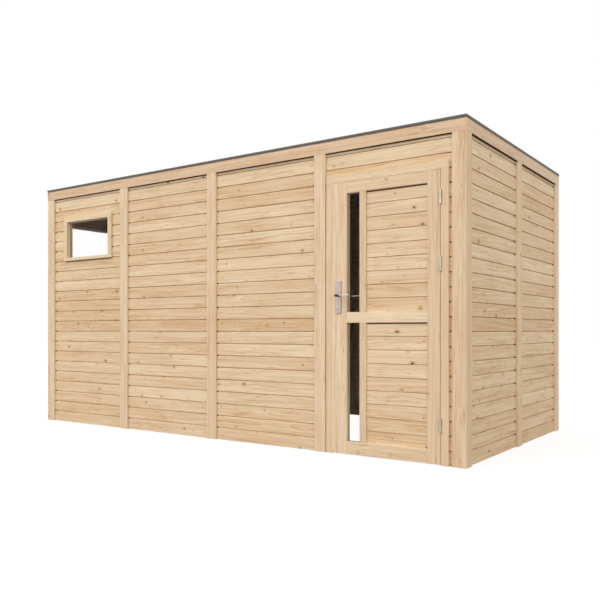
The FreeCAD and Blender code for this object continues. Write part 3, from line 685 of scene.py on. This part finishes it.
# the lock stile is planed back by 2 mm towards the inside, so that it clears its casing
STILE_BEVEL, BEVEL_REACH, STILE_ARRIS = 0.002, 0.03, 0.0006
low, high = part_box("door_lock_stile")
width, depth = high.x - low.x, high.y - low.y
outline = [
    (across + STILE_BEVEL * (inward / depth) * max(0.0, 1 - across / BEVEL_REACH), inward)
    for across, inward in rounded_section(0, width, depth, STILE_ARRIS)
]
stile = Joinery("door_lock_stile")
stile.loft(((0, outline), (high.z - low.z, outline)), low, (UP, *WALL_AXES["front"]))
stile.piece("spruce_door_lock_stile", LEAF_SPRUCE, "door_timber", "door", "door_lock_stile")

LEAF_BOARD_COVER = 0.0903
LEAF_BOARD_SLOT = 0.009  # left open under the rail above each panel
LEAF_JOINT_GAP = 0.0026
leaf_boards = Joinery("door_boards")
lower_panel, upper_panel = sorted(solids_of("door_boards"), key=lambda box: box[0].z)
lower_rest = (lower_panel[1].z - lower_panel[0].z) % LEAF_BOARD_COVER
for panel, rest in ((lower_panel, lower_rest), (upper_panel, LEAF_BOARD_COVER)):
    board_run(leaf_boards, "front", *panel, cover=LEAF_BOARD_COVER, first=panel[0].z + rest,
              nicks=(0, 0), slot=LEAF_BOARD_SLOT, gap=LEAF_JOINT_GAP)
leaf_boards.piece("tongued_door_boards", BOARD_SPRUCE, "door_timber", "door", "door_boards")

DOOR_GLASS = dusty_glass("door_glass", srgb(252, 254, 254), 0.02)
coat("door_glass", DOOR_GLASS)

# LOCK, LEVERS AND HINGES
# Satin stainless plates, pale nickel levers, a steel faceplate and a profile cylinder in the
# leaf, and three bright zinc barrel hinges. The levers' pale tone is partly a painted
# highlight. Their black roots and the black keyways are painted shade, and narrow dark
# wings of painted shade lie under the hinge barrels.


def worn_metal_group():
    """Fine lines along one direction and soft handling marks, for steel and painted metal."""
    tree, given, result = new_group("worn_metal", (
        ("Place", "INPUT", "Vector"),
        ("Lines", "INPUT", "Vector"),
        ("Brush", "OUTPUT", "Float"),
        ("Marks", "OUTPUT", "Float"),
    ))
    brush = noise(tree, given["Place"], given["Lines"], detail=3.0)
    marks = add_node(tree, "TexNoise", {"Vector": given["Place"], "Scale": 35.0, "Detail": 4.0})
    tree.links.new(brush["Fac"], result["Brush"])
    tree.links.new(marks.outputs["Fac"], result["Marks"])
    return tree


WORN_METAL = worn_metal_group()


def metal(name, colour, shade, lines, metallic, rough, relief=0.00003):
    """Metal whose colour and gloss change with its brush lines and with handling."""
    material, tree, shader = new_material(name)
    shader["Metallic"].default_value = metallic
    wear = add_node(tree, "Group", node_tree=WORN_METAL)
    tree.links.new(add_node(tree, "TexCoord").outputs["Object"], wear.inputs["Place"])
    wear.inputs["Lines"].default_value = lines
    low, high = 0.3, 0.7
    blend = add_node(tree, "ValToRGB")
    for stop, stop_colour, position in zip(blend.color_ramp.elements, (shade, colour), (low, high)):
        stop.color, stop.position = stop_colour, position
    mixed = calc(tree, "ADD", calc(tree, "MULTIPLY", wear.outputs["Brush"], 0.5),
                 calc(tree, "MULTIPLY", wear.outputs["Marks"], 0.5))
    tree.links.new(mixed, blend.inputs["Fac"])
    tree.links.new(blend.outputs["Color"], shader["Base Color"])
    tree.links.new(remap(tree, mixed, low, high, rough * 0.8, rough * 1.2), shader["Roughness"])
    bump = add_node(tree, "Bump", {
        "Height": wear.outputs["Brush"], "Strength": 0.5, "Distance": relief})
    tree.links.new(bump.outputs["Normal"], shader["Normal"])
    return material


ALONG_X, ALONG_Z = (40, 1500, 1500), (900, 900, 60)
SATIN_STEEL = metal("satin_steel", srgb(190, 177, 170), srgb(172, 158, 151), ALONG_X, 1.0, 0.36)
ZINC_STEEL = metal("zinc_steel", srgb(208, 203, 197), srgb(172, 166, 160), ALONG_Z, 1.0, 0.3)
# a dark steel whose colour is painted shade beside the hinge barrels
PAINTED_SHADE_STEEL = metal("painted_shade_steel", srgb(118, 102, 88), srgb(92, 80, 70), (200, 200, 60), 0.6, 0.45)
# a black that is painted shadow and dark reflection at the levers' roots, and painted shade in the
# keyways
PAINTED_SHADE_BLACK = metal("painted_shade_black", srgb(44, 38, 34), srgb(30, 26, 24), (60, 60, 60), 0.0, 0.5)
# near-white, part-metal nickel for the levers: their own light colour, and partly a painted
# highlight standing in for their bright reflection
NICKEL_AND_PAINTED_GLINT = metal("nickel_and_painted_glint", srgb(232, 228, 222), srgb(206, 200, 193), ALONG_X, 0.35, 0.3)
for node, steel in (
    ("door_handle_plates", SATIN_STEEL), ("handle_spindle", ZINC_STEEL),
    ("hinge_frame_knuckles", ZINC_STEEL), ("hinge_leaf_knuckles", ZINC_STEEL),
):
    coat(node, steel)


class Metalwork:
    """Turned and drawn metal gathered into one mesh, each length lofted from closed sections."""

    def __init__(self):
        self.mesh = bmesh.new()

    def loft(self, sections):
        """One length through closed sections, each a list of points."""
        rings = [[self.mesh.verts.new(point) for point in section] for section in sections]
        skin(self.mesh, rings)
        cap(self.mesh, rings)

    def piece(self, name, material, slot, body, *nodes):
        """Finish the metal as one piece of the shed that stands for those CAD nodes."""
        finish_piece(smooth_object(self.mesh, name, material, 35), body, nodes)


def oval(centre, across, up, half_across, half_up, squareness=2.0, count=28):
    """A closed section round a centre: an ellipse, or a rounded block for a higher squareness."""
    points = []
    for index in range(count):
        turn = 2 * math.pi * index / count
        x, y = math.cos(turn), math.sin(turn)
        swell = (abs(x) ** squareness + abs(y) ** squareness) ** (-1 / squareness)
        points.append(centre + across * (half_across * x * swell) + up * (half_up * y * swell))
    return points


def lever(name, node, outward):
    """A lever bent from the round neck into a flat bar, its root black as painted shadow and dark
    reflection.
    """
    low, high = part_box(node)
    neck_radius, bend, bend_steps, before_bend, after_bend = 0.009, 0.013, 6, 0.012, 0.004
    bar_half, bar_thick, bar_squareness, shade_root = 0.009, 0.004, 3.6, 0.038
    middle = Vector((low.x + neck_radius, 0, (low.z + high.z) / 2))
    root_y, bar_y = (high.y, low.y + bar_half) if outward < 0 else (low.y, high.y - bar_half)
    right, forward = Vector((1, 0, 0)), Vector((0, outward, 0))

    def bar_section(x, inset=0.0):
        return oval(Vector((x, bar_y, middle.z)), -forward, UP,
                    bar_half - inset, bar_thick - inset, bar_squareness)

    sections = [oval(Vector((middle.x, y, middle.z)), right, UP, neck_radius, neck_radius)
                for y in (root_y, bar_y - outward * (bend + before_bend))]
    for step in range(bend_steps + 1):
        share = step / bend_steps
        turn = math.radians(90 * step / bend_steps)
        side = right * math.cos(turn) - forward * math.sin(turn)
        centre = Vector((middle.x, bar_y, middle.z)) + right * bend
        centre = centre - right * (bend * math.cos(turn)) - forward * (bend * (1 - math.sin(turn)))
        half_up = neck_radius + (bar_thick - neck_radius) * share
        sections.append(oval(centre, side, UP, neck_radius * 0.94, half_up, 2.0 + 1.6 * share))
    shade_root_end = middle.x + shade_root
    root = Metalwork()
    root.loft(sections + [bar_section(middle.x + bend + after_bend), bar_section(shade_root_end)])
    root.piece(name + "_root", PAINTED_SHADE_BLACK, "stainless", "handle")
    bar = Metalwork()
    # thinner than its black root, and rounded over at the free end
    bar.loft([bar_section(x, inset) for x, inset in (
        (shade_root_end, 0.0006), (high.x - 0.004, 0.0006),
        (high.x - 0.0012, 0.0012), (high.x, 0.0028),
    )])
    bar.piece(name + "_bar", NICKEL_AND_PAINTED_GLINT, "stainless", "handle", node)


lever("outer_lever", "handle_outer_lever", -1)
lever("inner_lever", "handle_inner_lever", 1)

# the faceplate follows the bevel of the leaf's edge
(plate_low, plate_high), (cylinder_low, cylinder_high) = solids_of("door_lock")
stile_low, stile_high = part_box("door_lock_stile")
front_left, back_left = (
    plate_low.x + STILE_BEVEL * (y - stile_low.y) / (stile_high.y - stile_low.y)
    for y in (plate_low.y, plate_high.y))
lock = Metalwork()
lock.loft([
    [Vector((front_left, plate_low.y, z)), Vector((back_left, plate_high.y, z)),
     Vector((plate_high.x, plate_high.y, z)), Vector((plate_high.x, plate_low.y, z))]
    for z in (plate_low.z, plate_high.z)
])

# the profile cylinder: a round barrel over a narrow web, with a keyway in both faces
BARREL_STEPS, WEB_STEPS = 24, 8
BARREL_GAP = 36  # half the angle, in degrees, that the web takes from the barrel
WEB_HALF = 0.005
KEYWAY_DEPTH, KEYWAY_PROUD = 0.0003, 0.0002
KEYWAY = ((-0.0012, -0.0050), (0.0012, -0.0050), (0.0012, 0.0010),
          (0.0006, 0.0040), (-0.0006, 0.0040), (-0.0012, 0.0010))
barrel = (cylinder_high.x - cylinder_low.x) / 2
centre_x, centre_z = (cylinder_low.x + cylinder_high.x) / 2, cylinder_high.z - barrel
web_z = cylinder_low.z - centre_z + WEB_HALF
profile = []
for index in range(BARREL_STEPS + 1):
    turn = math.radians(BARREL_GAP - 90 + (360 - 2 * BARREL_GAP) * index / BARREL_STEPS)
    profile.append((barrel * math.cos(turn), barrel * math.sin(turn)))
for index in range(WEB_STEPS + 1):
    turn = math.radians(180 + 180 * index / WEB_STEPS)
    profile.append((WEB_HALF * math.cos(turn), web_z + WEB_HALF * math.sin(turn)))
lock.loft([[Vector((centre_x + x, y, centre_z + z)) for x, z in profile]
           for y in (cylinder_low.y, cylinder_high.y)])
lock.piece("lock_faceplate_and_cylinder", ZINC_STEEL, "zinc_steel", "door", "door_lock")
# black keyways laid on both faces of the cylinder: painted shade for their slots
keyways = Metalwork()
for y in (cylinder_low.y - KEYWAY_PROUD, cylinder_high.y + KEYWAY_PROUD - KEYWAY_DEPTH):
    keyways.loft([[Vector((centre_x + x, y + step, centre_z + z)) for x, z in KEYWAY]
                  for step in (0, KEYWAY_DEPTH)])
keyways.piece("lock_keyways", PAINTED_SHADE_BLACK, "zinc_steel", "door")

# narrow dark wings of painted shade under each barrel, one on the leaf and one on the casing
WING_THICKNESS, WING_CHAMFER, WING_MARGIN = 0.0008, 0.0003, 0.001
LEAF_WING, CASING_WING = (-0.0065, -0.0005), (0.0035, 0.0090)
leaf_wings, casing_wings = Metalwork(), Metalwork()
leaf_face, casing_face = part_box("door_hinge_stile")[0].y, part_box("door_casing")[0].y
leaf_knuckles = sorted(solids_of("hinge_leaf_knuckles"), key=lambda box: box[0].z)
frame_knuckles = sorted(solids_of("hinge_frame_knuckles"), key=lambda box: box[0].z)
for upper, lower in zip(leaf_knuckles, frame_knuckles):
    bottom, top = lower[0].z + WING_MARGIN, upper[1].z - WING_MARGIN
    for wings, (left, right), face in (
        (leaf_wings, LEAF_WING, leaf_face), (casing_wings, CASING_WING, casing_face),
    ):
        shoulder = WING_THICKNESS - WING_CHAMFER
        outline = ((left, 0), (left, shoulder), (left + WING_CHAMFER, WING_THICKNESS),
                   (right - WING_CHAMFER, WING_THICKNESS), (right, shoulder), (right, 0))
        wings.loft([[Vector((LEAF_RIGHT + x, face - y, z)) for x, y in outline]
                    for z in (bottom, top)])
leaf_wings.piece("hinge_leaf_shade_wings", PAINTED_SHADE_STEEL, "zinc_steel", "door")
casing_wings.piece("hinge_casing_shade_wings", PAINTED_SHADE_STEEL, "zinc_steel", "building")

# ROOF
# Spruce joists lie on the wall frames and carry a plank deck. Deep fascia boards, mitred at
# the corners, close the edge, and a rubber sheet covers the deck.
# joists and deck in a darkened spruce: painted shade for the dim roof space seen through the
# windows and the door glass
SHADED_DECK_SPRUCE = spruce("shaded_deck_spruce", srgb(138, 116, 92), srgb(116, 90, 64), srgb(60, 38, 22),
                     ring_spacing=0.005, knot_share=0.35, rough=0.75, relief=0.0004)
JOIST_ARRIS, PLANK_ARRIS = 0.002, 0.001
DECK_PLANKS, PLANK_MARGIN = 29, 0.0004
joists = Joinery("roof_joists")
for low, high in solids_of("roof_joists"):
    joists.timber(low, high, JOIST_ARRIS)
joists.piece("spruce_roof_joists", SHADED_DECK_SPRUCE, "framing_timber", "building", "roof_joists")

# the deck is laid as planks from front to back
deck = Joinery("roof_deck")
low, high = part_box("roof_deck")
step = (high.x - low.x) / DECK_PLANKS
for plank in range(DECK_PLANKS):
    left = Vector((low.x + plank * step + PLANK_MARGIN, low.y, low.z))
    right = Vector((low.x + (plank + 1) * step - PLANK_MARGIN, high.y, high.z))
    deck.timber(left, right, PLANK_ARRIS, along=1)
deck.piece("spruce_roof_deck", SHADED_DECK_SPRUCE, "framing_timber", "building", "roof_deck")

FASCIA_SPRUCE = spruce("fascia_spruce", srgb(233, 209, 178), srgb(195, 149, 105), srgb(112, 66, 40),
                       ring_spacing=0.0038, knot_share=0.2)
FASCIA_ARRIS = 0.002
for wall in ("front", "right", "back", "left"):
    node = wall + "_fascia"
    low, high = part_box(node)
    low = low - Vector((0, 0, FASCIA_LAP))
    along, inward = WALL_AXES[wall]
    length, thickness = (high - low).dot(along), abs((high - low).dot(inward))
    outline = rounded_section(0, high.z - low.z, thickness, FASCIA_ARRIS)
    board = Joinery(node)
    board.loft(((lambda depth: depth, outline), (lambda depth: length - depth, outline)),
               face_corner(wall, low, high), (along, UP, inward))
    board.piece("mitred_" + node, FASCIA_SPRUCE, "fascia_timber", "building", node)

# EDGE TRIM AND ROOF SHEET
# A dark painted aluminium trim, mitred at the corners, is screwed down over the fascias. Its
# nose stands a little proud and drips clear of the boards. The sheet is clamped under it.
trim_low, trim_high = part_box("roof_edge_trim")
fascia_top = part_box("front_fascia")[1].z
TRIM_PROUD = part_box("front_fascia")[0].y - trim_low.y
TRIM_HEIGHT = trim_high.z - fascia_top
TRIM_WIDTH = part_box("roof_membrane")[0].x - trim_low.x


def edge_trim():
    """The trim's section run round the four sides in one mitred ring."""
    mesh = bmesh.new()
    # inwards from the nose's face, and up from the fascia
    section = (
        (TRIM_PROUD, 0.0), (TRIM_PROUD - 0.0006, 0.0010), (TRIM_PROUD - 0.0004, 0.0062),
        (0.0006, 0.0078), (0.0, 0.0092), (0.0, 0.0186), (0.0008, 0.0206), (0.0026, 0.0218),
        (0.0060, TRIM_HEIGHT), (0.0180, TRIM_HEIGHT - 0.0002), (0.0240, TRIM_HEIGHT - 0.0030),
        (0.0290, TRIM_HEIGHT - 0.0120), (TRIM_WIDTH - 0.0004, 0.0045), (TRIM_WIDTH, 0.0),
        (0.0150, 0.0),
    )
    back_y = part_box("back_fascia")[1].y + TRIM_PROUD
    rings = []
    for right, back in ((0, 0), (1, 0), (1, 1), (0, 1)):
        ring = []
        for inset, up in section:
            x = trim_high.x - inset if right else trim_low.x + inset
            y = back_y - inset if back else trim_low.y + inset
            ring.append(mesh.verts.new((x, y, fascia_top + up)))
        rings.append(ring)
    skin(mesh, rings + rings[:1])
    return smooth_object(mesh, "edge_trim", PAINTED_TRIM, 30)


PAINTED_TRIM = metal("painted_trim", srgb(106, 93, 82), srgb(84, 73, 64), (30, 30, 400), 0.0, 0.5)
trim = edge_trim()
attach(trim, "building")
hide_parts("roof_edge_trim")


def roof_sheet():
    """The rubber sheet in a fine grid: slack ripples and two lapped seams across the roof."""
    low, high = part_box("roof_membrane")
    across, deep, wave_count = 164, 84, 6
    slack, ripple_height, lap_width, lap_height = 0.0018, 0.0006, 0.05, 0.0012
    seams = [low.x + (high.x - low.x) * share for share in (1 / 3, 2 / 3)]
    mesh = bmesh.new()
    dice = random.Random("roof sheet")
    waves = [(dice.uniform(1.5, 5), dice.uniform(1.5, 5), dice.uniform(0, 6.3))
             for wave in range(wave_count)]
    top = []
    for row in range(deep + 1):
        line = []
        for column in range(across + 1):
            x = low.x + (high.x - low.x) * column / across
            y = low.y + (high.y - low.y) * row / deep
            ripple = sum(math.sin(a * x + b * y + c) for a, b, c in waves) / wave_count
            lap = sum(lap_height for seam in seams if 0 <= x - seam <= lap_width)
            z = high.z - slack + ripple_height * ripple + lap
            line.append(mesh.verts.new((x, y, z)))
        top.append(line)
    for near, far in zip(top, top[1:]):
        for column in range(across):
            mesh.faces.new((near[column], near[column + 1], far[column + 1], far[column]))
    rim = (top[0] + [line[-1] for line in top[1:]]
           + top[-1][-2::-1] + [line[0] for line in top[-2:0:-1]])
    under = [mesh.verts.new((v.co.x, v.co.y, low.z)) for v in rim]
    skin(mesh, [rim, under])
    mesh.faces.new(under)
    return smooth_object(mesh, "roof_sheet", ROOF_RUBBER, 35)


ROOF_RUBBER = metal("roof_rubber", srgb(74, 75, 76), srgb(52, 53, 55), (25, 25, 25), 0.0, 0.7,
                    relief=0.0002)
sheet = roof_sheet()
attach(sheet, "building")
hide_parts("roof_membrane")

# STAGE
# A plain white floor and background, soft studio light from the front left and a fill from
# the front right, and a level camera at the photograph's viewpoint, 0.85 m above the ground.


def seen_ray(tree):
    """1 for rays that the eye follows straight, in a mirror or through glass."""
    path = add_node(tree, "LightPath").outputs
    seen = calc(tree, "MAXIMUM", path["Is Camera Ray"], path["Is Glossy Ray"])
    return calc(tree, "MAXIMUM", seen, path["Is Transmission Ray"])


def ground(name, left, right, front, back, height, glow, shade):
    """A level sheet that glows to the eye and reflects light as its shade of grey."""
    data = bpy.data.meshes.new(name)
    data.from_pydata([(left, front, height), (right, front, height),
                      (right, back, height), (left, back, height)], [], [(0, 1, 2, 3)])
    made = add_object(name, data)
    material, tree, shader = new_material(name)
    shader["Base Color"].default_value = srgb(shade, shade, shade)
    shader["Roughness"].default_value = 0.9
    shader["Specular IOR Level"].default_value = 0.0
    shader["Emission Color"].default_value = (1, 1, 1, 1)
    tree.links.new(calc(tree, "MULTIPLY", seen_ray(tree), glow), shader["Emission Strength"])
    data.materials.append(material)


ground("studio_floor", -30, 30, -30, 30, height=-0.0005, glow=0.84, shade=112)
inner_low, inner_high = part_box("back_wall_frame")
ground("ground_inside", inner_low.x, inner_high.x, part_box("front_wall_frame")[0].y, inner_high.y,
       height=0.0002, glow=1.0, shade=190)

world = bpy.data.worlds.new("studio")
bpy.context.scene.world = world
world.use_nodes = True
sky = world.node_tree.nodes["Background"]
sky.inputs["Color"].default_value = (1, 1, 1, 1)
AMBIENT = 0.99
seen = seen_ray(world.node_tree)
world.node_tree.links.new(remap(world.node_tree, seen, 0, 1, AMBIENT, 1.0), sky.inputs["Strength"])


def soft_sun(name, strength, travel):
    """A broad lamp like a large studio window, shining along travel."""
    data = bpy.data.lights.new(name, "SUN")
    data.energy = strength
    data.angle = math.radians(50)
    lamp = add_object(name, data)
    lamp.rotation_euler = Vector(travel).to_track_quat("-Z", "Y").to_euler()


soft_sun("key_light", 0.97, (0.42, 0.78, -0.62))
soft_sun("fill_light", 0.79, (-0.65, 0.60, -0.45))

camera_data = bpy.data.cameras.new("camera")
camera = add_object("camera", camera_data)
bpy.context.scene.camera = camera
EYE = Vector((3.6852, -5.2291, 0.8459))
VIEW_TURN = math.radians(35.979)
camera.location = EYE
camera.rotation_euler = (math.radians(90), 0, VIEW_TURN)
camera_data.sensor_width = 36.0
camera_data.lens = 42.935
camera_data.shift_x = 0.03846
camera_data.shift_y = 0.05036
camera_data.clip_end = 200

bpy.context.scene.view_settings.view_transform = "Standard"
